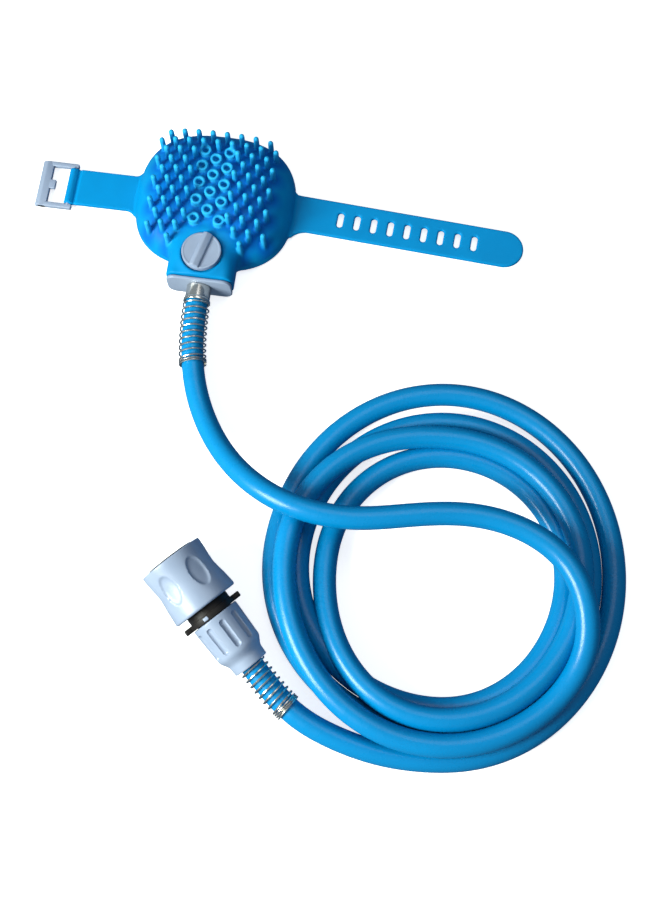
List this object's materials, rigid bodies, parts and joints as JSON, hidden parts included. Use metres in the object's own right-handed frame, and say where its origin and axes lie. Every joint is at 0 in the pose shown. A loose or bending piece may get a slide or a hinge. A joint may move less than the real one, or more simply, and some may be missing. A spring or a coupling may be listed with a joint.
{
  "type": "handheld bath sprayer",
  "caption": "Palm-held silicone scrubber that sprays water through its brush face, with a hand strap, a valve knob, a spring-guarded hose and a quick connector.",
  "frame": {"origin": "on the flat palm side of the head, under its middle", "axes": "+Z out of the brush face, +Y away from the neck, +X along the hand strap towards its holed end"},
  "size_m": [0.3455, 0.3366, 0.0404],
  "materials": {
    "silicone": "satin",
    "white_plastic": "satin",
    "seal_rubber": "satin",
    "steel": "satin",
    "brass": "satin",
    "grey_plastic": "gloss",
    "hose": "gloss",
    "black_plastic": "gloss"
  },
  "bodies": {
    "head": {"head_cover": "silicone", "palm_pad": "silicone", "spray_plate": "white_plastic", "water_chamber": "white_plastic", "valve_body": "white_plastic", "hose_collet": "white_plastic", "chamber_gasket": "seal_rubber", "stem_seal": "seal_rubber", "inlet_seal": "seal_rubber", "mouth_seal": "seal_rubber", "chamber_screw_1": "steel", "chamber_screw_2": "steel", "chamber_screw_3": "steel", "chamber_screw_4": "steel", "head_ferrule": "steel", "head_spring": "steel", "connector_spring": "steel", "sleeve_spring": "steel", "inlet_barb": "brass", "neck_plate": "grey_plastic", "ribbed_nut": "grey_plastic", "hose_lead": "hose", "hose_coil": "hose", "hose_tail": "hose", "connector_body": "black_plastic", "claw_ring": "black_plastic"},
    "valve": {"valve_rotor": "brass", "knob": "grey_plastic"},
    "sleeve": {"release_sleeve": "grey_plastic"},
    "short_strap": {"strap_short": "silicone"},
    "buckle": {"buckle": "grey_plastic"},
    "long_strap_root": {"strap_long_root": "silicone"},
    "long_strap_middle": {"strap_long_middle": "silicone"},
    "long_strap_tip": {"strap_long_tip": "silicone"}
  },
  "joints": [
    {"name": "knob_turn", "type": "hinge", "parent": "head", "child": "valve", "pos_m": [0, -0.041, 0.0204], "axis": [0, 0, 1], "range_deg": [-76, 14]},
    {"name": "sleeve_slide", "type": "slide", "parent": "head", "child": "sleeve", "axis": [0.7061, -0.6819, -0.1908], "range_m": [0, 0.0034], "stiffness_N_per_m": 1500, "springref_m": -0.002, "deforming": ["sleeve_spring"]},
    {"name": "short_strap_flex", "type": "hinge", "parent": "head", "child": "short_strap", "pos_m": [-0.0485, -0.0015, 0.0035], "axis": [0, -1, 0], "range_deg": [-40, 80], "stiffness_Nm_per_rad": 0.02},
    {"name": "buckle_turn", "type": "hinge", "parent": "short_strap", "child": "buckle", "pos_m": [-0.0835, -0.0015, 0.0035], "axis": [0, -1, 0], "range_deg": [-90, 90]},
    {"name": "long_strap_root_flex", "type": "hinge", "parent": "head", "child": "long_strap_root", "pos_m": [0.0485, -0.0015, 0.0035], "axis": [0.061, 0.9981, 0], "range_deg": [-40, 60], "stiffness_Nm_per_rad": 0.06},
    {"name": "long_strap_middle_flex", "type": "hinge", "parent": "long_strap_root", "child": "long_strap_middle", "pos_m": [0.08563, -0.00377, 0.0035], "axis": [0.061, 0.9981, 0], "range_deg": [-40, 60], "stiffness_Nm_per_rad": 0.04},
    {"name": "long_strap_tip_flex", "type": "hinge", "parent": "long_strap_middle", "child": "long_strap_tip", "pos_m": [0.12376, -0.0061, 0.0035], "axis": [0.061, 0.9981, 0], "range_deg": [-40, 60], "stiffness_Nm_per_rad": 0.02}
  ]
}
